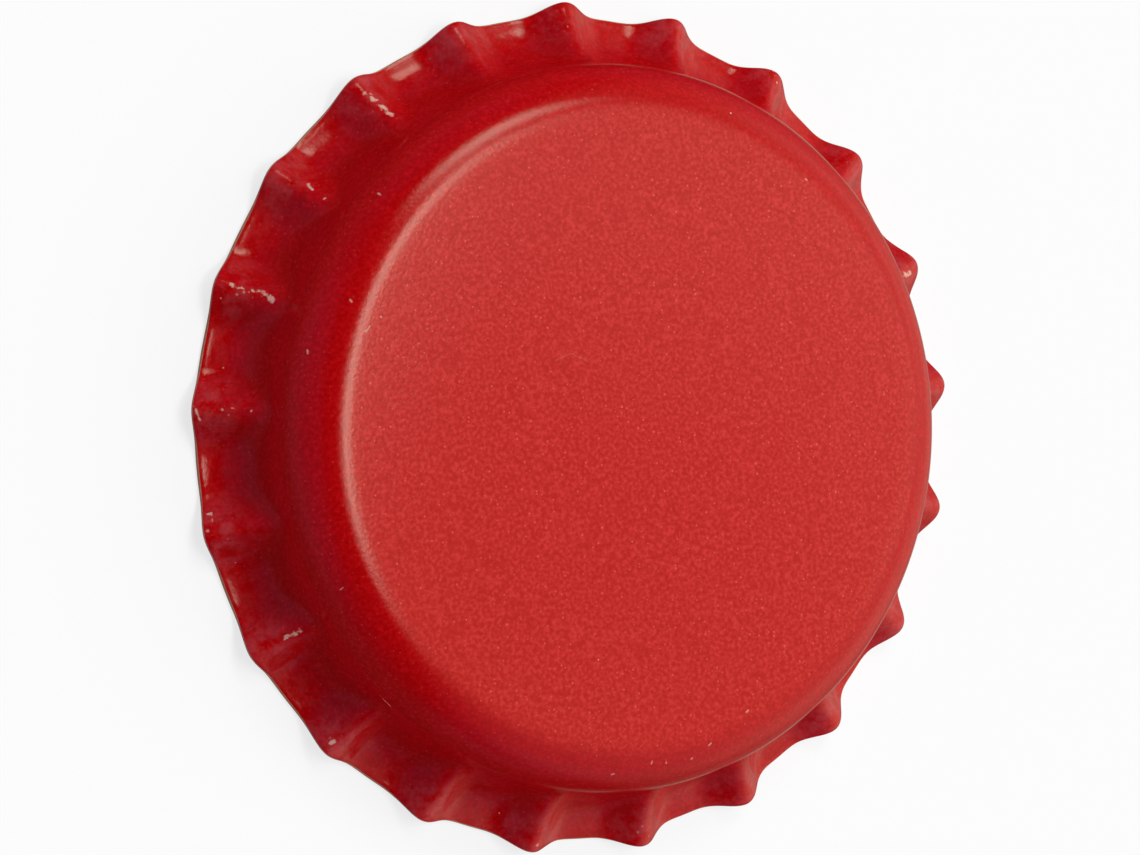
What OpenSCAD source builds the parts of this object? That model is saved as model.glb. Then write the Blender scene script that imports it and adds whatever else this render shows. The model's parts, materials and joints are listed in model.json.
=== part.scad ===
// Crown cap before crimping: a drawn sheet-metal shell with a domed panel and a
// fluted skirt, and the sealing liner that is moulded into it.
// Millimetres. +Z is up through the panel, and the origin is the centre of the
// plane that the skirt's lower edge stands on. One ridge of the skirt is on +X.

/* [Shell] */
// Overall height, from the lower edge of the skirt to the top of the panel
cap_h = 6; // [5.5:0.05:6.6]
// Inside diameter of the plain wall, which fits over a bottle's mouth
mouth_d = 26.75; // [26:0.05:29.6]
// Thickness of the sheet
sheet_t = 0.24; // [0.18:0.01:0.3]
// Outside radius of the corner between the panel and the wall
corner_r = 1.8; // [1.4:0.1:2.2]
// Radius of the shallow dome of the panel
dome_r = 150; // [100:5:200]
// Length of the plain wall between the corner and the flutes
wall_len = 0.6; // [0.3:0.05:1]

/* [Fluted skirt] */
// Number of flutes around the skirt
flutes = 21; // [18:1:24]
// How far the edge stands out past the wall, halfway between two ridges
flare = 1.78; // [1.5:0.02:2.2]
// How much further out a ridge ends than the valleys beside it
ridge_out = 0.56; // [0.4:0.02:0.7]
// How much higher a ridge ends than the valleys beside it
ridge_up = 0.75; // [0.5:0.05:0.9]
// Narrowness of the ridges: a larger value gives narrower ridges and wider valleys
ridge_narrowness = 2.25; // [1.5:0.05:2.6]

/* [Liner] */
// Gap between the rim of the liner and the wall
liner_gap = 0.2; // [0.1:0.05:0.4]
// Thickness of the liner's web, which covers the middle of the panel
web_t = 0.3; // [0.2:0.05:0.5]
// Thickness of the sealing ring, measured at the edge of the panel
ring_t = 0.9; // [0.7:0.05:1.1]
// Width of the flat land of the sealing ring
land_w = 1.5; // [1.2:0.1:2]
// Diameter of the round bead along the inner edge of the sealing ring
bead_d = 0.8; // [0.6:0.05:1]
// How far the bead stands below the land
bead_out = 0.15; // [0.05:0.05:0.25]

/* [Hidden] */

$fn = 256;
// Segments for each flute, and rings down the skirt
flute_steps = 12;
skirt_rings = 8;
// Crowding of the segments towards the ridge
ridge_crowding = 0.45;
// How steeply the ridge and valley lines end: 0 is level, 1 is vertical down to the edge
ridge_bend = 0.5;
valley_bend = 0.1;
// The skirt's top runs up into the wall by this height, and lies this deep in its faces
lap_h = 0.05;
lap = 0.01;
// Step for the skirt's surface normals, and an overshoot for clean cuts
nudge = 0.001;
cut = 1;

wall_r = mouth_d / 2 + sheet_t;
corner_x = wall_r - corner_r;
dome_z = cap_h - dome_r;
corner_z = dome_z + sqrt(pow(dome_r - corner_r, 2) - pow(corner_x, 2));
root_z = corner_z - wall_len;
// The sheet is cut square at the edge, so its outer face ends this high when its
// inner face touches the ground. The second line repeats the first with its result.
edge_guess = sheet_t * flare / norm([flare, root_z * valley_bend]);
edge_z = sheet_t * flare / norm([flare, (root_z - edge_guess) * valley_bend]);
edge_r = wall_r + flare;

liner_r = mouth_d / 2 - liner_gap;
panel_z = dome_z + sqrt(pow(dome_r - sheet_t, 2) - pow(corner_x, 2));
land_z = panel_z - ring_t;
land_r = liner_r - land_w;

// A quadratic curve from a to c, pulled towards b
function bow(a, b, c, s) = (1 - s) * (1 - s) * a + 2 * s * (1 - s) * b + s * s * c;
// [radius, height] along a line of the skirt, from the wall at s = 0 to its end at s = 1
function skirt_line(r, z, bend, s) =
    let (start_r = wall_r - lap)
    bow([start_r, root_z], [start_r, z + (root_z - z) * bend], [r, z], s);
// 1 along a ridge, 0 halfway between two ridges
function ridge(a) = pow((1 + cos(flutes * a)) / 2, ridge_narrowness);
// A point of the skirt's outer face
function skirt_face(a, s) =
    let (
        valley = skirt_line(edge_r, edge_z, valley_bend, s),
        crest = skirt_line(edge_r + ridge_out, edge_z + ridge_up, ridge_bend, s),
        p = valley + ridge(a) * (crest - valley)
    )
    [p[0] * cos(a), p[0] * sin(a), p[1]];
// The outward unit normal there
function skirt_normal(a, s) =
    let (
        down = skirt_face(a, s + nudge) - skirt_face(a, s - nudge),
        along = skirt_face(a + nudge, s) - skirt_face(a - nudge, s),
        n = cross(down, along)
    )
    n / norm(n);
// Full thickness at the edge, and slightly less where the skirt runs into the wall
function skirt_t(s) = sheet_t - 2 * lap * pow(1 - s, 2);
function inner_face(a, s) = skirt_face(a, s) - skirt_t(s) * skirt_normal(a, s);
function ring_at(r, z, angles) = [for (a = angles) [r * cos(a), r * sin(a), z]];

// Angles around the skirt, closer together on the ridges
skirt_angles = [
    for (i = [0:flutes - 1], k = [0:flute_steps - 1])
        let (phase = 360 * k / flute_steps)
        (360 * i + phase - ridge_crowding * sin(phase) * 180 / PI) / flutes
];
skirt_steps = [for (i = [1:skirt_rings]) i / skirt_rings];

// The area under the outer face of the panel, corner and wall, moved inwards by inset
module cap_profile(inset) {
    sector = (dome_r + cut) / (dome_r - corner_r);
    intersection() {
        translate([0, dome_z]) circle(dome_r - inset);
        polygon([
            [0, dome_z],
            [corner_x * sector, dome_z + (corner_z - dome_z) * sector],
            [0, cap_h + cut]
        ]);
        translate([0, root_z - cut]) square([wall_r, cap_h + cut]);
    }
    translate([corner_x, corner_z]) circle(corner_r - inset);
    translate([0, root_z - cut]) square([wall_r - inset, corner_z - root_z + cut]);
}

// The panel, the corner and the plain wall
module drawn_cup() {
    rotate_extrude() difference() {
        cap_profile(0);
        cap_profile(sheet_t);
        translate([0, root_z - 2 * cut]) square([wall_r + cut, 2 * cut]);
    }
}

// The flared skirt with its flutes, one closed sheet with a square-cut edge
module fluted_skirt() {
    n = len(skirt_angles);
    outer = [
        ring_at(wall_r - lap, root_z + lap_h, skirt_angles),
        for (s = skirt_steps) [for (a = skirt_angles) skirt_face(a, s)]
    ];
    inner = [
        for (i = [skirt_rings - 1:-1:0]) [for (a = skirt_angles) inner_face(a, skirt_steps[i])],
        ring_at(wall_r - sheet_t + lap, root_z + lap_h, skirt_angles)
    ];
    rings = concat(outer, inner);
    polyhedron(
        points = [for (ring = rings) each ring],
        faces = [
            for (i = [0:len(rings) - 1], k = [0:n - 1])
                let (
                    a = i * n + k,
                    b = i * n + (k + 1) % n,
                    c = ((i + 1) % len(rings)) * n + (k + 1) % n,
                    d = ((i + 1) % len(rings)) * n + k
                )
                each [[a, b, c], [a, c, d]]
        ]
    );
}

module shell() {
    color([0.78, 0.16, 0.15]) {
        drawn_cup();
        fluted_skirt();
    }
}

// A disc that lies against the inside of the panel, thin in the middle and with a
// sealing ring around it that has a flat land and a round bead along its inner edge
module liner() {
    slope_r = land_r - bead_d;
    color([0.93, 0.92, 0.88]) rotate_extrude() {
        difference() {
            intersection() {
                cap_profile(sheet_t);
                translate([0, land_z]) square([liner_r, cap_h]);
            }
            // the hollow under the web
            intersection() {
                translate([0, dome_z]) circle(dome_r - sheet_t - web_t);
                polygon([
                    [0, land_z - cut],
                    [land_r, land_z - cut],
                    [slope_r, cap_h],
                    [0, cap_h]
                ]);
            }
        }
        translate([land_r, land_z + bead_d / 2 - bead_out]) circle(d = bead_d, $fn = 48);
    }
}

shell();
liner();
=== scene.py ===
"""A crown cap before crimping: its fluted shell and its liner, dressed and lit.

Metres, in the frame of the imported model: +Z is up through the panel, and the
origin is the centre of the plane that the skirt's lower edge stands on.
"""

import json
import math

import bpy
from mathutils import Matrix, Vector


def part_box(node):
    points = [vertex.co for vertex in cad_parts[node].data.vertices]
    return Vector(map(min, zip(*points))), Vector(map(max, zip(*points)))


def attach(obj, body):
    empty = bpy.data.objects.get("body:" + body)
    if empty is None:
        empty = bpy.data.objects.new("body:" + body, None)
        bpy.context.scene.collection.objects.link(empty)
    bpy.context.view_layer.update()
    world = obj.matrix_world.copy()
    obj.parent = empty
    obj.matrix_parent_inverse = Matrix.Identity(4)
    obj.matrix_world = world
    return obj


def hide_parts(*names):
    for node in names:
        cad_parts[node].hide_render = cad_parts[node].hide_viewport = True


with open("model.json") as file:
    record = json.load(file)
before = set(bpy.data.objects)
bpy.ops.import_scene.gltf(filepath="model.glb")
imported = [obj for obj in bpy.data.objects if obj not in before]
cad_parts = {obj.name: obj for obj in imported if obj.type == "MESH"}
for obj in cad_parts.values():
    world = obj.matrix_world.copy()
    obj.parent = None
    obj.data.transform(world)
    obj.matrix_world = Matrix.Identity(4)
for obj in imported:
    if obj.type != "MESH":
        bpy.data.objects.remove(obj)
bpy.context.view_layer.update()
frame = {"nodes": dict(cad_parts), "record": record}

bl_info = {
    "name": "Crown Cap",
    "version": (1, 0, 0),
    "blender": (4, 5, 0),
    "location": "3D View > Sidebar > Crown Cap",
    "description": "A crown cap before crimping, with its lacquer, its liner and a small studio",
    "category": "Object",
}

MM = 0.001

# What the imported model says of the shell, with its sheet and how far its ridges reach given here
SHELL_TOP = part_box("shell")[1]
MOUTH = next(m for m in frame["record"]["mounts"] if m["name"] == "mouth")
SHEET = 0.24 * MM
RIDGE_OUT = 0.56 * MM
WALL_RADIUS = MOUTH["dims"]["r_mm"] * MM + SHEET
FLARE = SHELL_TOP.x - WALL_RADIUS - RIDGE_OUT
SKIRT_TOP = MOUTH["pos_m"][2] - MOUTH["dims"]["length_mm"] * MM / 2

# Rows of the shell's section, from the middle of the panel down to the cut edge
PANEL_ROWS = 12
CORNER_ROWS = 22
WALL_ROWS = 1
SKIRT_ROWS = 22
EDGE_ROWS = 6
HALF_ROW = 0.5
COLUMNS_PER_FLUTE = 36
# Places that lie closer than this are one
MERGE_DISTANCE = MM / 5000


# ---------------------------------------------------------------- sizes and colours

def length(name, description, default):
    """A length that a user may change, shown in scene units."""
    return bpy.props.FloatProperty(
        name=name, description=description, default=default, min=0.0,
        precision=5, subtype="DISTANCE", unit="LENGTH",
    )


def ratio(name, description, default, highest=10.0):
    """A plain number without a unit."""
    return bpy.props.FloatProperty(
        name=name, description=description, default=default, min=0.0, max=highest,
    )


def colour(name, description, default):
    """A colour in linear red, green and blue."""
    return bpy.props.FloatVectorProperty(
        name=name, description=description, default=default, size=3,
        min=0.0, max=1.0, subtype="COLOR",
    )


class CapSizes(bpy.types.PropertyGroup):
    """Sizes of the drawn and fluted shell."""

    height: length("Height", "From the skirt's lower edge to the top of the panel", SHELL_TOP.z)
    mouth: length("Mouth diameter", "Inside diameter of the plain wall", 2 * (WALL_RADIUS - SHEET))
    sheet: length("Sheet", "Thickness of the tinplate", SHEET)
    corner: length("Corner radius", "Outside radius between the panel and the wall", 2.1 * MM)
    inner_corner: length("Inner corner radius", "The same radius inside", 1.56 * MM)
    ease: length("Ease", "Length over which the panel bends into the corner", 0.95 * MM)
    dome: length("Dome radius", "Radius of the shallow dome of the panel", 150 * MM)
    skirt_top: length("Skirt top", "Height at which the flutes start", SKIRT_TOP)
    flutes: bpy.props.IntProperty(
        name="Flutes", description="Number of ridges round the skirt", default=21, min=3,
    )
    flare: length("Flare", "How far the edge stands out past the wall in a valley", FLARE)
    ridge_out: length("Ridge out", "How much further out a ridge ends than a valley", RIDGE_OUT)
    ridge_up: length("Ridge up", "How much higher a ridge ends than a valley", 0.75 * MM)
    narrowness: ratio("Narrowness", "A larger value gives narrower ridges", 2.25)
    ridge_bend: ratio("Ridge bend", "How steeply a ridge ends: 0 is level", 0.5, 1.0)
    valley_bend: ratio("Valley bend", "How steeply a valley ends: 0 is level", 0.1, 1.0)


class CapFinish(bpy.types.PropertyGroup):
    """Colours and grain of the cap's surfaces."""

    # The corner and skirt are painted a darker, shaded red and the panel a paler, lit red: painted
    # light and shade
    shaded_dark_red: colour("Dark red", "The lacquer where its grain is darkest", (0.345, 0.0, 0.0004))
    shaded_light_red: colour("Light red", "The same where it is lightest", (0.5, 0.0038, 0.0072))
    lit_panel_dark: colour("Dark grain", "The grain of the panel where it is darkest", (0.39, 0.0, 0.0))
    lit_panel_light: colour("Light grain", "The same where it is lightest", (0.575, 0.024, 0.025))
    worn: colour("Worn", "Scuffs and dust on the lacquer", (0.64, 0.34, 0.31))
    # a painted cool sheen on the skirt's ridges, standing in for reflections
    painted_sheen: colour("Haze", "Faint rubbing on the skirt", (0.52, 0.24, 0.31))
    # painted glints: bright specks in the lacquer's colour that stand in for its sparkle
    glint: colour("Glint", "Bright flakes in the lacquer", (1.0, 0.21, 0.20))
    tin: colour("Tin", "The sheared tinplate at the cut edge", (0.60, 0.27, 0.17))
    inside: colour("Inside", "The clear lacquered tinplate inside", (0.60, 0.54, 0.42))
    liner: colour("Liner", "The moulded liner", (0.83, 0.81, 0.76))
    grain: length("Grain", "Size of the grain in the lacquer's colour", 0.15 * MM)
    grain_depth: ratio("Grain strength", "How much that grain lightens and darkens", 1.0)
    peel: length("Peel", "Size of the unevenness of the lacquer", 0.15 * MM)
    peel_depth: length("Peel depth", "Depth of that unevenness", 0.005 * MM)
    panel_gloss: ratio("Panel roughness", "Roughness of the lacquer on the panel", 0.155, 1.0)
    skirt_gloss: ratio("Skirt roughness", "Roughness of the lacquer on the skirt", 0.14, 1.0)


class CapStudio(bpy.types.PropertyGroup):
    """The camera's place and the studio's lights."""

    azimuth: bpy.props.FloatProperty(
        name="Azimuth", description="Direction of the camera from the cap, from +X towards +Y",
        default=math.radians(174.076), subtype="ANGLE", unit="ROTATION",
    )
    elevation: bpy.props.FloatProperty(
        name="Elevation", description="Height of the camera above the floor",
        default=math.radians(62.311), subtype="ANGLE", unit="ROTATION",
    )
    roll: bpy.props.FloatProperty(
        name="Roll", description="How far the camera is turned about its own axis",
        default=math.radians(89.919), subtype="ANGLE", unit="ROTATION",
    )
    distance: length("Distance", "From the camera to the point that it aims at", 403.056 * MM)
    lens: ratio("Lens", "Focal length in millimetres on a 36 mm sensor", 338.840, 1000.0)
    floor: colour("Floor", "The plain floor", (0.205, 0.21, 0.25))
    glow: ratio("Floor glow", "How strongly the floor shines, as a light table does", 0.75, 1.0)
    backdrop: colour("Backdrop", "What the camera sees past the floor", (0.97, 0.97, 0.97))
    lamps: colour("Lamps", "The warm white of the soft boxes", (1.0, 0.98, 0.80))
    surround: colour("Surround", "The cool light of the dim side of the room", (0.16, 0.22, 0.50))
    power: ratio("Power", "Strength of all lights together", 1.0)


# ---------------------------------------------------------------- writing node trees

# How far apart a tree's nodes are laid out
COLUMN_WIDTH = 220
ROW_HEIGHT = 180


class Term:
    """A number in a node tree. The usual signs write the Math nodes of a formula."""

    def __init__(self, tree, socket):
        self.tree = tree
        self.socket = socket

    def math(self, operation, *others, **settings):
        node = add(self.tree, "ShaderNodeMath", enumerate((self, *others)),
                   operation=operation, **settings)
        return Term(self.tree, node.outputs[0])

    def __add__(self, other):
        return self.math("ADD", other)

    def __sub__(self, other):
        return self.math("SUBTRACT", other)

    def __rsub__(self, other):
        return (self * -1) + other

    def __mul__(self, other):
        return self.math("MULTIPLY", other)

    def __truediv__(self, other):
        return self.math("DIVIDE", other)

    def __rtruediv__(self, other):
        return (self ** -1) * other

    def __pow__(self, other):
        return self.math("POWER", other)

    def __neg__(self):
        return self * -1

    __radd__ = __add__
    __rmul__ = __mul__

    def sin(self):
        return self.math("SINE")

    def cos(self):
        return self.math("COSINE")

    def asin(self):
        return self.math("ARCSINE")

    def sqrt(self):
        return self.math("SQRT")

    def clamped(self):
        """The same number, kept between 0 and 1."""
        return self.math("ADD", 0.0, use_clamp=True)

    def above(self, limit):
        """1 above the limit, 0 elsewhere."""
        return self.math("GREATER_THAN", limit)


def plug(tree, value, socket):
    """Gives a socket a link or a plain value."""
    if isinstance(value, Term):
        value = value.socket
    if isinstance(value, bpy.types.NodeSocket):
        tree.links.new(value, socket)
    else:
        socket.default_value = value


def add(tree, kind, inputs=(), **settings):
    """Adds a node, with its settings and what goes into it by name or number."""
    node = tree.nodes.new(kind)
    for name, value in settings.items():
        setattr(node, name, value)
    for name, value in dict(inputs).items():
        plug(tree, value, node.inputs[name])
    return node


def blend(a, b, share):
    """a where share is 0, b where it is 1."""
    return a + (b - a) * share


def ramp(value, start, gain):
    """0 up to the start, then rising with that gain as far as 1."""
    return ((value - start) * gain).clamped()


def arrange(tree):
    """Lays a tree's nodes out in columns, each left of what it feeds."""
    depth = {}

    def place(node, column):
        if depth.get(node.name, -1) >= column:
            return
        depth[node.name] = column
        for socket in node.inputs:
            for link in socket.links:
                place(link.from_node, column + 1)

    for node in tree.nodes:
        if not any(socket.links for socket in node.outputs):
            place(node, 0)
    rows = {}
    for node in tree.nodes:
        column = depth.get(node.name, 0)
        rows[column] = rows.get(column, 0) + 1
        node.location = (-COLUMN_WIDTH * column, -ROW_HEIGHT * rows[column])


# ---------------------------------------------------------------- the shell

def bow(a, b, c, s):
    """A quadratic curve from a to c, pulled towards b."""
    rest = 1 - s
    return rest * rest * a + 2 * s * rest * b + s * s * c


def bow_slope(a, b, c, s):
    """How fast that curve runs with s."""
    return 2 * (1 - s) * (b - a) + 2 * s * (c - b)


SHELL_INPUTS = {
    "Height": "height", "Mouth Diameter": "mouth", "Sheet": "sheet", "Corner Radius": "corner",
    "Inner Corner": "inner_corner", "Ease": "ease", "Dome Radius": "dome",
    "Skirt Top": "skirt_top", "Flutes": "flutes", "Flare": "flare",
    "Ridge Out": "ridge_out", "Ridge Up": "ridge_up", "Narrowness": "narrowness",
    "Ridge Bend": "ridge_bend", "Valley Bend": "valley_bend",
}
# The unrolled skirt, in millimetres: one flute's width, and the runs down the section
FLUTE_PITCH = 4.46
CORNER_RUN = 2.7
WALL_RUN = 0.6
SKIRT_RUN = 3.7
# How the columns crowd towards the ridges, and the rows towards the panel's edge
RIDGE_CROWDING = 0.45
PANEL_CROWDING = 2.2
# What a bend that starts gently over a length of 1 falls short of one that starts at once
EASED_END = 0.025
# How far the cut edge is rounded out
EDGE_ROUND = 0.05 * MM
# The unevenness of the skirt: its reach, its size along the skirt, and its finer steps
WOBBLE = 0.045 * MM
WOBBLE_SIZE = 1.4 * MM
WOBBLE_DETAIL = 2.0


def shell_group():
    """The node group that presses the shell out of a flat grid."""
    tree = bpy.data.node_groups.new("press_shell", "GeometryNodeTree")
    tree.is_modifier = True
    for name in SHELL_INPUTS:
        kind = "NodeSocketInt" if name == "Flutes" else "NodeSocketFloat"
        tree.interface.new_socket(name, in_out="INPUT", socket_type=kind)
    for name in ("Outside", "Cut Edge", "Inside"):
        tree.interface.new_socket(name, in_out="INPUT", socket_type="NodeSocketMaterial")
    tree.interface.new_socket("Shell", in_out="OUTPUT", socket_type="NodeSocketGeometry")
    given = add(tree, "NodeGroupInput")
    size = {name: Term(tree, given.outputs[name]) for name in SHELL_INPUTS}

    # a flat grid: columns run round the cap, rows run down outside and back up inside
    down_rows = PANEL_ROWS + CORNER_ROWS + WALL_ROWS + SKIRT_ROWS
    rows = 2 * down_rows + EDGE_ROWS
    columns = size["Flutes"] * COLUMNS_PER_FLUTE
    grid = add(tree, "GeometryNodeMeshGrid", {
        "Size X": columns, "Size Y": float(rows),
        "Vertices X": columns + 1, "Vertices Y": rows + 1,
    })
    spot = add(tree, "GeometryNodeInputPosition").outputs[0]
    place = add(tree, "ShaderNodeSeparateXYZ", {0: spot})
    column = Term(tree, place.outputs["X"]) + columns / 2
    row = rows / 2 - Term(tree, place.outputs["Y"])
    turn = column / columns * math.tau
    angle = turn - (turn * size["Flutes"]).sin() * RIDGE_CROWDING / size["Flutes"]
    across = ((row - down_rows) / EDGE_ROWS).clamped()
    down = row.math("MINIMUM", rows - row).math("MINIMUM", down_rows)

    # the panel, the corner and the wall
    wall_r = size["Mouth Diameter"] / 2 + size["Sheet"]
    corner = blend(size["Corner Radius"], size["Inner Corner"] + size["Sheet"], across)
    corner_x = wall_r - corner
    dome_z = size["Height"] - size["Dome Radius"]
    reach = size["Dome Radius"] - corner
    corner_z = dome_z + (reach * reach - corner_x * corner_x).sqrt()
    root_z = size["Skirt Top"]
    on_panel = 1 - (1 - (down / PANEL_ROWS).clamped()) ** PANEL_CROWDING
    on_corner = ((down - PANEL_ROWS) / CORNER_ROWS).clamped()
    on_wall = ((down - PANEL_ROWS - CORNER_ROWS) / WALL_ROWS).clamped()
    on_skirt = ((down - PANEL_ROWS - CORNER_ROWS - WALL_ROWS) / SKIRT_ROWS).clamped()
    past_panel = down.above(PANEL_ROWS + HALF_ROW)
    panel_tilt = (corner_x / reach).asin()
    tilt = blend(on_panel * panel_tilt, math.pi / 2, on_corner)
    arc = blend(size["Dome Radius"], corner, past_panel)
    cup_r = corner_x * past_panel + arc * tilt.sin()
    cup_z = blend(dome_z, corner_z, past_panel) + arc * tilt.cos() - on_wall * (corner_z - root_z)

    # outside, the bend starts gently, which moves the face inwards: the curvature grows as
    # a smooth step t, and running it up twice gives t^4 / 4 - t^5 / 10
    past_junction = (on_panel - 1) * corner_x + on_corner * corner * (math.pi / 2 - panel_tilt)
    into = (past_junction / size["Ease"] + 0.5).clamped()
    early = into ** 4 * (0.25 - into * 0.1)
    sharp = (into - 0.5).math("MAXIMUM", 0.0) ** 2 / 2
    eased = (early - sharp - on_corner * EASED_END) * size["Ease"] ** 2 * (1 - across)
    eased = eased * (1 / corner - 1 / size["Dome Radius"])

    # the skirt: a ridge line and a valley line, and how far each place has risen to the ridge
    valley_r = wall_r + size["Flare"]
    fall = root_z * size["Valley Bend"]
    guess = size["Sheet"] * size["Flare"] / (size["Flare"] ** 2 + fall ** 2).sqrt()
    fall = (root_z - guess) * size["Valley Bend"]
    valley_z = size["Sheet"] * size["Flare"] / (size["Flare"] ** 2 + fall ** 2).sqrt()
    ridge_r = valley_r + size["Ridge Out"]
    ridge_z = valley_z + size["Ridge Up"]
    valley = (
        (wall_r, wall_r, valley_r),
        (root_z, blend(valley_z, root_z, size["Valley Bend"]), valley_z),
    )
    ridge = (
        (wall_r, wall_r, ridge_r),
        (root_z, blend(ridge_z, root_z, size["Ridge Bend"]), ridge_z),
    )
    phase = angle * size["Flutes"]
    wave = (phase.cos() + 1) / 2
    rise = wave ** size["Narrowness"]
    rise_slope = (
        wave ** (size["Narrowness"] - 1) * phase.sin() * size["Narrowness"] * size["Flutes"] / -2
    )
    (skirt_r, slope_r, gap_r), (skirt_z, slope_z, gap_z) = (
        (
            blend(bow(*low, on_skirt), bow(*high, on_skirt), rise),
            blend(bow_slope(*low, on_skirt), bow_slope(*high, on_skirt), rise),
            bow(*high, on_skirt) - bow(*low, on_skirt),
        )
        for low, high in zip(valley, ridge)
    )

    # the outward normal: outwards, along the turn, and upwards
    skirt_out = -(slope_z * skirt_r)
    skirt_along = (slope_z * gap_r - slope_r * gap_z) * rise_slope
    skirt_up = slope_r * skirt_r
    span = (skirt_out ** 2 + skirt_along ** 2 + skirt_up ** 2).sqrt()
    below = down.above(down_rows - SKIRT_ROWS + HALF_ROW)
    out = blend(tilt.sin(), skirt_out / span, below)
    along = skirt_along / span * below
    up = blend(tilt.cos(), skirt_up / span, below)
    radius = blend(cup_r, skirt_r, below)
    height = blend(cup_z, skirt_z, below)

    # a little unevenness, the sheet's thickness, and the round of the cut edge
    middle = add(tree, "ShaderNodeCombineXYZ", {
        "X": radius * angle.cos(), "Y": radius * angle.sin(), "Z": height,
    })
    noise = add(tree, "ShaderNodeTexNoise", {
        "Vector": middle.outputs[0], "Scale": 1 / WOBBLE_SIZE, "Detail": WOBBLE_DETAIL,
    })
    wobble = (Term(tree, noise.outputs[0]) - 0.5) * 2 * WOBBLE * on_skirt
    half_turn = across * math.pi
    inset = size["Sheet"] * (1 - half_turn.cos()) / 2 - wobble + eased
    slope = (slope_r ** 2 + slope_z ** 2).sqrt()
    bulge = half_turn.sin() * EDGE_ROUND / slope
    radius = radius - out * inset + slope_r * bulge
    height = height - up * inset + slope_z * bulge
    sideways = -(along * inset)
    pressed = add(tree, "ShaderNodeCombineXYZ", {
        "X": radius * angle.cos() - sideways * angle.sin(),
        "Y": radius * angle.sin() + sideways * angle.cos(),
        "Z": height,
    })

    # what the finishes need to know of each place
    mesh = grid.outputs["Mesh"]
    for name, value in (("skirt_run", on_skirt), ("ridge_rise", rise), ("section_row", row)):
        mesh = add(tree, "GeometryNodeStoreNamedAttribute", {
            "Geometry": mesh, "Name": name, "Value": value,
        }, data_type="FLOAT", domain="POINT").outputs[0]
    unrolled = add(tree, "ShaderNodeCombineXYZ", {
        "X": angle / math.tau * size["Flutes"] * FLUTE_PITCH,
        "Y": (on_corner - 1) * CORNER_RUN + (on_wall - 1) * WALL_RUN + on_skirt * SKIRT_RUN,
    })
    mesh = add(tree, "GeometryNodeStoreNamedAttribute", {
        "Geometry": mesh, "Name": "unrolled", "Value": unrolled.outputs[0],
    }, data_type="FLOAT_VECTOR", domain="CORNER").outputs[0]
    mesh = add(tree, "GeometryNodeSetPosition", {
        "Geometry": mesh, "Position": pressed.outputs[0],
    }).outputs[0]
    mesh = add(tree, "GeometryNodeMergeByDistance", {
        "Geometry": mesh, "Distance": MERGE_DISTANCE,
    }).outputs[0]
    section = Term(tree, add(tree, "GeometryNodeInputNamedAttribute", {
        "Name": "section_row",
    }, data_type="FLOAT").outputs[0])
    mesh = add(tree, "GeometryNodeSetShadeSmooth", {
        "Geometry": mesh, "Shade Smooth": True,
    }).outputs[0]
    mesh = add(tree, "GeometryNodeRealizeInstances", {"Geometry": mesh}).outputs[0]
    bands = (
        ("Outside", None),
        ("Cut Edge", section.above(down_rows)),
        ("Inside", section.above(down_rows + EDGE_ROWS)),
    )
    for name, band in bands:
        node = add(tree, "GeometryNodeSetMaterial", {
            "Geometry": mesh, "Material": given.outputs[name],
        })
        if band:
            plug(tree, band, node.inputs["Selection"])
        mesh = node.outputs[0]
    add(tree, "NodeGroupOutput", {"Shell": mesh})
    arrange(tree)
    return tree


def press_shell(sizes, finishes):
    """The shell as a plain mesh, pressed by its node group."""
    blank = bpy.data.objects.new("shell_blank", bpy.data.meshes.new("shell_blank"))
    bpy.context.scene.collection.objects.link(blank)
    press = blank.modifiers.new("press", "NODES")
    press.node_group = shell_group()
    values = {name: getattr(sizes, key) for name, key in SHELL_INPUTS.items()}
    values.update(zip(("Outside", "Cut Edge", "Inside"), finishes))
    for item in press.node_group.interface.items_tree:
        if item.in_out == "INPUT":
            press[item.identifier] = values[item.name]
    pressed = blank.evaluated_get(bpy.context.evaluated_depsgraph_get())
    mesh = bpy.data.meshes.new_from_object(pressed)
    mesh.name = "shell_pressed"
    bpy.data.objects.remove(blank)
    shell = bpy.data.objects.new("shell_pressed", mesh)
    bpy.context.scene.collection.objects.link(shell)
    return shell


# ---------------------------------------------------------------- finishes

def new_finish(name):
    """An empty material, its tree and its one shader."""
    finish = bpy.data.materials.new(name)
    finish.use_nodes = True
    tree = finish.node_tree
    tree.nodes.clear()
    shader = add(tree, "ShaderNodeBsdfPrincipled")
    add(tree, "ShaderNodeOutputMaterial", {"Surface": shader.outputs[0]})
    return finish, tree, shader


def in_millimetres(tree):
    """The place on the cap, in millimetres."""
    place = add(tree, "ShaderNodeTexCoord").outputs["Object"]
    return add(tree, "ShaderNodeMapping", {
        "Vector": place, "Scale": (1 / MM, 1 / MM, 1 / MM),
    }).outputs[0]


def attribute(tree, name):
    """A number that the shell's mesh carries."""
    return Term(tree, add(tree, "ShaderNodeAttribute", attribute_name=name).outputs["Fac"])


def noise(tree, place, size, detail=2.0, roughness=0.5):
    """Noise from 0 to 1, with grains of that size in millimetres."""
    node = add(tree, "ShaderNodeTexNoise", {
        "Vector": place, "Scale": 1 / size, "Detail": detail, "Roughness": roughness,
    })
    return Term(tree, node.outputs[0])


# The sockets of a Mix node that take and give colours
MIX_FIRST = 6
MIX_SECOND = 7
MIX_RESULT = 2


def mixed(tree, a, b, share):
    """Colour a where share is 0, colour b where it is 1."""
    node = add(tree, "ShaderNodeMix", {0: share}, data_type="RGBA")
    for value, number in ((a, MIX_FIRST), (b, MIX_SECOND)):
        if isinstance(value, bpy.types.NodeSocket):
            tree.links.new(value, node.inputs[number])
        else:
            node.inputs[number].default_value = (*value, 1.0)
    return node.outputs[MIX_RESULT]


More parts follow.
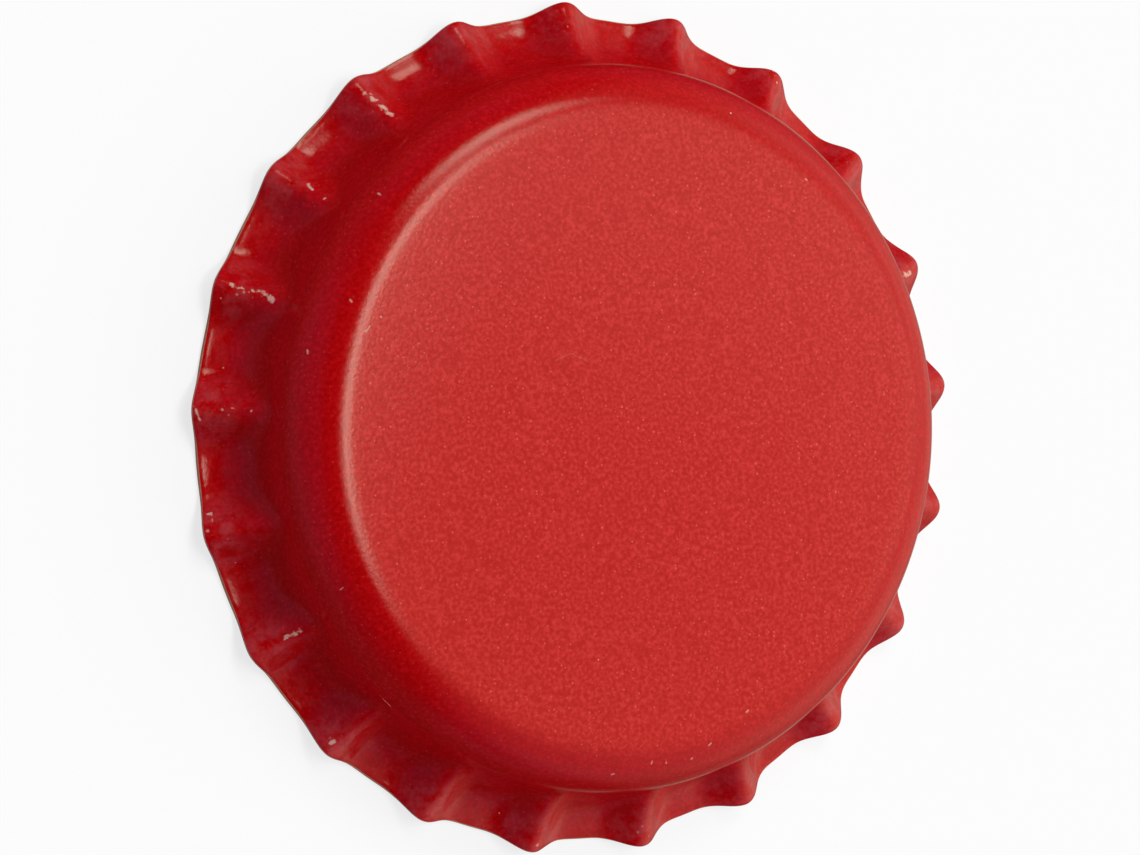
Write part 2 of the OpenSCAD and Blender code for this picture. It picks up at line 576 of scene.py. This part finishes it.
# Worn spots and dust. On the skirt and the corner a place is a flute and a run in millimetres
# down the section, on the panel it is X and Y. Each has two ends and a half width.
SKIRT_SCUFFS = (
    ((8.98, 3.25), (8.99, 3.05), 0.10),
    ((8.98, 2.90), (8.98, 2.86), 0.07),
    ((8.97, 2.55), (8.98, 2.50), 0.07),
    ((8.96, 2.30), (9.01, 1.65), 0.17),
    ((6.99, 3.10), (6.96, 1.95), 0.18),
    ((6.96, 1.60), (6.96, 1.50), 0.09),
    ((7.93, 2.45), (7.96, 2.22), 0.10),
    ((7.98, 1.50), (7.97, 1.46), 0.08),
    ((9.98, 2.50), (9.98, 2.45), 0.07),
    ((10.00, 1.75), (10.00, 1.70), 0.07),
    ((12.01, 2.60), (12.00, 1.80), 0.13),
    ((12.97, 3.45), (12.98, 3.30), 0.10),
    ((9.64, 2.80), (9.64, 2.78), 0.06),
    ((10.84, 3.40), (10.90, 3.42), 0.07),
    ((10.83, 3.68), (10.84, 3.40), 0.06),
    ((10.00, 3.62), (10.09, 3.50), 0.06),
    ((0.96, 3.20), (0.98, 2.90), 0.15),
    ((12.86, -0.30), (13.02, -0.28), 0.05),
    ((9.43, -1.60), (9.46, -1.62), 0.06),
)
PANEL_SPECKS = (
    ((-9.14, 9.63), (-9.12, 9.60), 0.05),
    ((-11.05, 5.87), (-11.02, 5.80), 0.06),
    ((-10.50, 4.84), (-10.66, 4.68), 0.04),
    ((-10.02, 5.16), (-10.00, 5.14), 0.04),
    ((-12.29, -4.66), (-12.24, -4.60), 0.04),
    ((-1.99, -12.71), (-1.90, -12.70), 0.04),
    ((-0.42, -12.49), (-0.40, -12.40), 0.04),
    ((0.16, -12.40), (0.22, -12.54), 0.04),
    ((1.29, -12.54), (1.33, -12.50), 0.04),
    ((2.00, -12.09), (2.10, -12.02), 0.04),
    ((3.64, -11.03), (3.72, -10.98), 0.04),
    ((8.25, 8.50), (8.30, 8.46), 0.05),
)
# A fibre that lies on the panel, from point to point
FIBRE = ((-3.17, 2.85), (-2.57, 3.04), (-2.10, 2.83), (-1.79, 2.63))
# How a mark breaks up: noise above a limit shows, and the limit is lower in its middle
RAGGED_LIMIT = 0.60
RAGGED_REACH = 0.25
RAGGED_EDGE = 6.0
RAGGED_SIZE = 0.22
RAGGED_DETAIL = 2.5
SOFT_RIM = 5.0
# A speck on the panel breaks up less. How pale it and the fibre are, and the fibre's half width
SPECK_RAISE = 0.12
SPECK_STRENGTH = 0.6
FIBRE_STRENGTH = 0.09
FIBRE_WIDTH = 0.04

# Dust, painted glints and chips: their spacing and largest radius in millimetres, and the share of
# the places that hold one
DUST = (0.7, 0.06, 0.10)
PAINTED_GLINTS = (0.21, 0.055, 0.8)
CHIPS = (0.22, 0.10, 0.35)
# How quickly a speck rises to its full strength inside its rim
SPECK_GAIN = 2
# How bright the painted glints are, and the share of that which is lost past the corner, where the
# lacquer lies in shade
PAINTED_GLINT_STRENGTH = 0.28
PAINTED_GLINTS_LOST = 0.7
# Chips lie on the crests, in the lower part of the skirt, and in patches
CHIP_RISE = 0.9
CHIP_RISE_GAIN = 10
CHIP_START = 0.55
CHIP_START_GAIN = 3
CHIP_PATCH = 0.9
CHIP_PATCH_LEVEL = 0.55

# The grain's finer steps, its spread, and how much further it goes up than down
GRAIN_DETAIL = 1.5
GRAIN_GAIN = 4.0
GRAIN_SKEW = 0.4
# The painted cool sheen, which stands in for reflections on the skirt, comes in clouds in the lower
# part of the skirt, and is fainter in the valleys
PAINTED_SHEEN_CLOUD = 0.7
PAINTED_SHEEN_DETAIL = 4.0
PAINTED_SHEEN_ROUGHNESS = 0.6
PAINTED_SHEEN_LEVEL = 0.42
PAINTED_SHEEN_GAIN = 5
PAINTED_SHEEN_START = 0.55
PAINTED_SHEEN_START_GAIN = 4
PAINTED_SHEEN_IN_VALLEYS = 0.3
PAINTED_SHEEN_STRENGTH = 0.12
# How quickly the panel's paler, lit red gives way at the corner to the darker, shaded red (painted
# light and shade), and its gloss below the wall
CORNER_GAIN = 5.0
GLOSS_GAIN = 4
WORN_ROUGHNESS = 0.5
LACQUER_IOR = 1.315

# The plain finishes: the size of their clouds in millimetres, the shade of the darkest cloud,
# how far they are metal, and their roughness
PLAIN_FINISHES = {
    "sheared_edge": (0.3, 0.6, 0.2, 0.45),
    "clear_lacquered_tin": (0.5, 0.9, 1.0, 0.28),
    "liner_compound": (1.2, 0.95, 0.0, 0.55),
}


def mark_group():
    """The node group of one mark: 1 where it shows, 0 outside its half width."""
    tree = bpy.data.node_groups.new("mark", "ShaderNodeTree")
    for name in ("Place", "Start", "End"):
        tree.interface.new_socket(name, in_out="INPUT", socket_type="NodeSocketVector")
    for name in ("Half Width", "Raggedness"):
        tree.interface.new_socket(name, in_out="INPUT", socket_type="NodeSocketFloat")
    tree.interface.new_socket("Mark", in_out="OUTPUT", socket_type="NodeSocketFloat")
    given = add(tree, "NodeGroupInput").outputs

    def vector(operation, a, b):
        return add(tree, "ShaderNodeVectorMath", {0: a, 1: b}, operation=operation).outputs

    reach = vector("SUBTRACT", given["Place"], given["Start"])[0]
    whole = vector("SUBTRACT", given["End"], given["Start"])[0]
    dot = Term(tree, vector("DOT_PRODUCT", reach, whole)["Value"])
    square = Term(tree, vector("DOT_PRODUCT", whole, whole)["Value"])
    share = (dot / square).clamped()
    nearest = add(tree, "ShaderNodeVectorMath", {0: whole, "Scale": share},
                  operation="SCALE").outputs[0]
    gap = Term(tree, vector("DISTANCE", reach, nearest)["Value"])
    depth = (1 - gap / Term(tree, given["Half Width"])).clamped()
    solid = (Term(tree, given["Raggedness"]) + depth * RAGGED_REACH - RAGGED_LIMIT) * RAGGED_EDGE
    mark = solid.clamped() * (depth * SOFT_RIM).clamped()
    add(tree, "NodeGroupOutput", {"Mark": mark})
    arrange(tree)
    return tree


def marked(tree, group, place, marks, raggedness):
    """All these marks together, 1 where there is one."""
    total = None
    for start, end, half_width in marks:
        node = add(tree, "ShaderNodeGroup", node_tree=group)
        for name, value in (("Place", place), ("Start", (*start, 0.0)), ("End", (*end, 0.0)),
                            ("Half Width", half_width), ("Raggedness", raggedness)):
            plug(tree, value, node.inputs[name])
        mark = Term(tree, node.outputs[0])
        total = total.math("MAXIMUM", mark) if total else mark
    return total


def specks(tree, place, spacing, radius, share):
    """Scattered specks: 1 inside one. Only that share of the cells holds a speck."""
    cell = add(tree, "ShaderNodeTexVoronoi", {"Vector": place, "Scale": 1 / spacing})
    tone = add(tree, "ShaderNodeSeparateColor", {0: cell.outputs["Color"]})
    size = Term(tree, tone.outputs["Red"]) * radius / spacing
    inside = ((size - Term(tree, cell.outputs["Distance"])) / size * SPECK_GAIN).clamped()
    return inside * Term(tree, tone.outputs["Green"]).math("LESS_THAN", share)


def red_lacquer(look):
    """Satin red lacquer with a fine grain, glossier where the skirt was stretched. The panel is
    painted a paler red than the corner and skirt, as painted light and shade.
    """
    finish, tree, shader = new_finish("red_lacquer")
    place = in_millimetres(tree)
    skirt = attribute(tree, "skirt_run")
    rise = attribute(tree, "ridge_rise")

    # the grain of the lacquer, its unevenness, painted glints, and dust that lies on it
    grain = (noise(tree, place, look.grain / MM, GRAIN_DETAIL) - 0.5) * GRAIN_GAIN
    grain = ((grain + grain ** 2 * GRAIN_SKEW) * look.grain_depth + 1) / 2
    peel = noise(tree, place, look.peel / MM, 1.0)
    dust = specks(tree, place, *DUST)
    painted_glints = specks(tree, place, *PAINTED_GLINTS) * PAINTED_GLINT_STRENGTH

    # worn spots
    unrolled = add(tree, "ShaderNodeAttribute", attribute_name="unrolled").outputs["Vector"]
    down = Term(tree, add(tree, "ShaderNodeSeparateXYZ", {0: unrolled}).outputs["Y"])
    # 0 on the panel and 1 past its edge: where the paler, lit red gives way to the darker, shaded
    #                                     red, and where most painted glints are lost
    past_corner = ((down + CORNER_RUN + WALL_RUN) / CORNER_RUN * CORNER_GAIN).clamped()
    plan = add(tree, "ShaderNodeMapping", {"Vector": place, "Scale": (1.0, 1.0, 0.0)}).outputs[0]
    group = mark_group()
    ragged = noise(tree, place, RAGGED_SIZE, RAGGED_DETAIL)
    scuffs = [
        ((a * FLUTE_PITCH, b), (c * FLUTE_PITCH, d), half_width)
        for (a, b), (c, d), half_width in SKIRT_SCUFFS
    ]
    worn = marked(tree, group, unrolled, scuffs, ragged)
    dirt = marked(tree, group, plan, PANEL_SPECKS, ragged + SPECK_RAISE) * SPECK_STRENGTH
    lengths = [(start, end, FIBRE_WIDTH) for start, end in zip(FIBRE, FIBRE[1:])]
    fibre = marked(tree, group, plan, lengths, ragged + SPECK_RAISE) * FIBRE_STRENGTH
    chips = specks(tree, place, *CHIPS) * ramp(rise, CHIP_RISE, CHIP_RISE_GAIN)
    chips = chips * ramp(skirt, CHIP_START, CHIP_START_GAIN)
    chips = chips * noise(tree, place, CHIP_PATCH).above(CHIP_PATCH_LEVEL)
    # painted cool sheen on the lower skirt, strongest on the ridges: it stands in for reflections
    clouds = noise(tree, place, PAINTED_SHEEN_CLOUD, PAINTED_SHEEN_DETAIL, PAINTED_SHEEN_ROUGHNESS)
    painted_sheen = ramp(clouds, PAINTED_SHEEN_LEVEL, PAINTED_SHEEN_GAIN) * ramp(skirt, PAINTED_SHEEN_START, PAINTED_SHEEN_START_GAIN)
    painted_sheen = painted_sheen * blend(PAINTED_SHEEN_IN_VALLEYS, 1.0, rise) * PAINTED_SHEEN_STRENGTH
    pale = worn.math("MAXIMUM", dirt).math("MAXIMUM", dust).math("MAXIMUM", chips)
    pale = pale.math("MAXIMUM", fibre)

    gloss = blend(look.panel_gloss, look.skirt_gloss, (skirt * GLOSS_GAIN).clamped())
    bump = add(tree, "ShaderNodeBump", {
        "Height": peel, "Distance": look.peel_depth, "Strength": 1.0,
    })
    grain = grain.clamped()
    # painted light and shade: the panel takes a paler, lit copy of the red, and the corner and
    # skirt take a darker, shaded copy
    lit_panel_red = mixed(tree, look.lit_panel_dark, look.lit_panel_light, grain)
    shaded_red = mixed(tree, look.shaded_dark_red, look.shaded_light_red, grain)
    red = mixed(tree, lit_panel_red, shaded_red, past_corner)
    # painted glints, most of them lost past the corner where the lacquer is in shade
    red = mixed(tree, red, look.glint, painted_glints * (1 - past_corner * PAINTED_GLINTS_LOST))
    red = mixed(tree, red, look.painted_sheen, painted_sheen)
    plug(tree, mixed(tree, red, look.worn, pale), shader.inputs["Base Color"])
    plug(tree, blend(gloss, WORN_ROUGHNESS, pale), shader.inputs["Roughness"])
    plug(tree, bump.outputs[0], shader.inputs["Normal"])
    shader.inputs["IOR"].default_value = LACQUER_IOR
    arrange(tree)
    return finish


def plain_finish(name, tint):
    """A finish of one colour, a little darker in clouds."""
    cloud, shade, metal, roughness = PLAIN_FINISHES[name]
    finish, tree, shader = new_finish(name)
    tone = noise(tree, in_millimetres(tree), cloud)
    darkest = [shade * part for part in tint]
    plug(tree, mixed(tree, tint, darkest, tone), shader.inputs["Base Color"])
    shader.inputs["Metallic"].default_value = metal
    shader.inputs["Roughness"].default_value = roughness
    arrange(tree)
    return finish


# ---------------------------------------------------------------- the studio

# Half the floor's side and its corners, where the camera aims, and how near it can see
FLOOR_REACH = 3.0
FLOOR_CORNERS = ((-1, -1), (1, -1), (1, 1), (-1, 1))
AIM = Vector((0.254 * MM, 0.0, 0.0))
NEAREST = 0.01


def lay_floor(studio):
    """A plain pale floor."""
    mesh = bpy.data.meshes.new("floor")
    corners = [(x * FLOOR_REACH, y * FLOOR_REACH, 0) for x, y in FLOOR_CORNERS]
    mesh.from_pydata(corners, [], [(0, 1, 2, 3)])
    floor = bpy.data.objects.new("floor", mesh)
    bpy.context.scene.collection.objects.link(floor)
    finish, tree, shader = new_finish("pale_floor")
    plug(tree, (*studio.floor, 1.0), shader.inputs["Base Color"])
    shader.inputs["Roughness"].default_value = 1.0
    shader.inputs["Specular IOR Level"].default_value = 0.0
    shader.inputs["Emission Color"].default_value = (1.0, 1.0, 1.0, 1.0)
    shader.inputs["Emission Strength"].default_value = studio.glow
    mesh.materials.append(finish)
    floor.visible_glossy = False


# The lowest direction that meets the ceiling, which keeps clear of the horizon
LOWEST = 0.001
# The two soft boxes overhead: where the middle is on a ceiling at height 1, which way the box
# is turned in degrees, its half length, its half width, its soft rim and its radiance
CEILING_BOXES = (
    (0.152, 0.085, 56.0, 0.320, 0.06, 0.360, 17.6),
    (0.256, 0.845, 34.4, 0.285, 0.217, 0.406, 9.9),
)
# The bright side of the room, as round patches of light with soft rims:
# azimuth, elevation, radius and width of the rim in degrees, and radiance
BRIGHT_SIDE = (
    (22, 56, 12, 9, 0.93),
    (-3, 40, 13, 9, 0.87),
    (15, 18, 20, 14, 0.60),
    (-27, 20, 18, 14, 0.22),
    (0, 30, 50, 40, 0.50),
    (-45, 30, 40, 30, 0.44),
    (-5, -10, 22, 14, 0.20),
    (-45, -10, 22, 14, 0.16),
    (-15, -45, 30, 20, 0.16),
    (-6, -64, 26, 16, 0.22),
)
# The dim cool side of the room
COOL_SIDE = (
    (-75, 30, 26, 14, 0.40),
    (175, 8, 36, 24, 0.50),
    (-90, 5, 22, 14, 0.35),
    (95, 10, 22, 14, 0.35),
    (40, -10, 22, 14, 0.20),
    (140, 15, 26, 16, 0.20),
    (-150, 10, 26, 16, 0.15),
)


def smooth_step(tree, value, start, end, top=1.0):
    """0 up to the start, the top from the end on, and a soft rise between them."""
    return Term(tree, add(tree, "ShaderNodeMapRange", {
        "Value": value, "From Min": start, "From Max": end, "To Max": top,
    }, interpolation_type="SMOOTHSTEP").outputs[0])


def ceiling_light(tree, direction):
    """The light from each direction that the boxes overhead send."""
    axes = add(tree, "ShaderNodeSeparateXYZ", {0: direction})
    level = Term(tree, axes.outputs["Z"]).math("MAXIMUM", LOWEST)
    x, y = (Term(tree, axes.outputs[name]) / level for name in "XY")
    total = 0.0
    for middle_x, middle_y, turn, half_length, half_width, rim, radiance in CEILING_BOXES:
        turn = math.radians(turn)
        across, up = x - middle_x, y - middle_y
        along = across * math.cos(turn) + up * math.sin(turn)
        aside = up * math.cos(turn) - across * math.sin(turn)
        box = radiance
        for run, half in ((along, half_length), (aside, half_width)):
            box = smooth_step(tree, run.math("ABSOLUTE"), half + rim / 2, half - rim / 2) * box
        total = box + total
    return total


def patches(tree, direction, boxes):
    """The light that arrives from each direction, from all these patches together."""
    total = 0.0
    for azimuth, elevation, radius, rim, radiance in boxes:
        azimuth, elevation = math.radians(azimuth), math.radians(elevation)
        middle = (
            math.cos(elevation) * math.cos(azimuth),
            math.cos(elevation) * math.sin(azimuth),
            math.sin(elevation),
        )
        nearness = add(tree, "ShaderNodeVectorMath", {0: direction, 1: middle},
                       operation="DOT_PRODUCT").outputs["Value"]
        start = math.cos(math.radians(radius + rim / 2))
        end = math.cos(math.radians(radius - rim / 2))
        total = smooth_step(tree, nearness, start, end, radiance) + total
    return total


def set_world(studio):
    """The soft boxes, and a pale backdrop where the camera sees past the floor."""
    world = bpy.data.worlds.new("room")
    bpy.context.scene.world = world
    world.use_nodes = True
    tree = world.node_tree
    tree.nodes.clear()
    direction = add(tree, "ShaderNodeTexCoord").outputs["Generated"]
    lamps = ceiling_light(tree, direction) + patches(tree, direction, BRIGHT_SIDE)
    white = add(tree, "ShaderNodeBackground", {
        "Color": (*studio.lamps, 1.0), "Strength": lamps * studio.power,
    })
    dim = patches(tree, direction, COOL_SIDE)
    cool = add(tree, "ShaderNodeBackground", {
        "Color": (*studio.surround, 1.0), "Strength": dim * studio.power,
    })
    room = add(tree, "ShaderNodeAddShader", {0: white.outputs[0], 1: cool.outputs[0]})
    backdrop = add(tree, "ShaderNodeBackground", {"Color": (*studio.backdrop, 1.0)})
    seen = add(tree, "ShaderNodeLightPath").outputs["Is Camera Ray"]
    both = add(tree, "ShaderNodeMixShader", {0: seen, 1: room.outputs[0], 2: backdrop.outputs[0]})
    add(tree, "ShaderNodeOutputWorld", {"Surface": both.outputs[0]})
    arrange(tree)


def set_camera(studio):
    """The camera, looking down on the cap that lies on the floor."""
    back = Vector((
        math.cos(studio.elevation) * math.cos(studio.azimuth),
        math.cos(studio.elevation) * math.sin(studio.azimuth),
        math.sin(studio.elevation),
    ))
    level = Vector((-math.sin(studio.azimuth), math.cos(studio.azimuth), 0.0))
    above = back.cross(level)
    right = level * math.cos(studio.roll) + above * math.sin(studio.roll)
    up = back.cross(right)
    lens = bpy.data.cameras.new("camera")
    lens.lens = studio.lens
    lens.clip_start = NEAREST
    camera = bpy.data.objects.new("camera", lens)
    bpy.context.scene.collection.objects.link(camera)
    turned = Matrix((right, up, back)).transposed().to_4x4()
    camera.matrix_world = Matrix.Translation(AIM + back * studio.distance) @ turned
    bpy.context.scene.camera = camera


# ---------------------------------------------------------------- operators

class PressShell(bpy.types.Operator):
    """Press the fluted shell, lacquer it and put it in place of the plain one"""

    bl_idname = "crown_cap.press_shell"
    bl_label = "Press the Shell"

    def execute(self, context):
        look = context.scene.cap_finish
        finishes = (
            red_lacquer(look),
            plain_finish("sheared_edge", look.tin),
            plain_finish("clear_lacquered_tin", look.inside),
        )
        shell = press_shell(context.scene.cap_sizes, finishes)
        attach(shell, "root")
        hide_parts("shell")
        return {"FINISHED"}


class MouldLiner(bpy.types.Operator):
    """Give the liner its moulded compound"""

    bl_idname = "crown_cap.mould_liner"
    bl_label = "Mould the Liner"

    def execute(self, context):
        liner = frame["nodes"]["liner"]
        liner.data.materials.clear()
        liner.data.materials.append(
            plain_finish("liner_compound", context.scene.cap_finish.liner)
        )
        return {"FINISHED"}


class SetStage(bpy.types.Operator):
    """Lay the floor, hang the lights and set the camera"""

    bl_idname = "crown_cap.set_stage"
    bl_label = "Set the Stage"

    def execute(self, context):
        studio = context.scene.cap_studio
        lay_floor(studio)
        set_world(studio)
        set_camera(studio)
        context.scene.view_settings.view_transform = "Standard"
        return {"FINISHED"}


class CapPanel(bpy.types.Panel):
    """Sizes, finish and stage of the crown cap"""

    bl_idname = "VIEW3D_PT_crown_cap"
    bl_label = "Crown Cap"
    bl_space_type = "VIEW_3D"
    bl_region_type = "UI"
    bl_category = "Crown Cap"

    def draw(self, context):
        groups = (
            (context.scene.cap_sizes, PressShell),
            (context.scene.cap_finish, MouldLiner),
            (context.scene.cap_studio, SetStage),
        )
        for group, operator in groups:
            box = self.layout.box()
            for name in group.__annotations__:
                box.prop(group, name)
            box.operator(operator.bl_idname)


CLASSES = (CapSizes, CapFinish, CapStudio, PressShell, MouldLiner, SetStage, CapPanel)


def register():
    for cls in CLASSES:
        bpy.utils.register_class(cls)
    bpy.types.Scene.cap_sizes = bpy.props.PointerProperty(type=CapSizes)
    bpy.types.Scene.cap_finish = bpy.props.PointerProperty(type=CapFinish)
    bpy.types.Scene.cap_studio = bpy.props.PointerProperty(type=CapStudio)


def unregister():
    del bpy.types.Scene.cap_sizes
    del bpy.types.Scene.cap_finish
    del bpy.types.Scene.cap_studio
    for cls in reversed(CLASSES):
        bpy.utils.unregister_class(cls)


def main():
    register()
    bpy.ops.crown_cap.press_shell()
    bpy.ops.crown_cap.mould_liner()
    bpy.ops.crown_cap.set_stage()


if __name__ == "__main__":
    main()
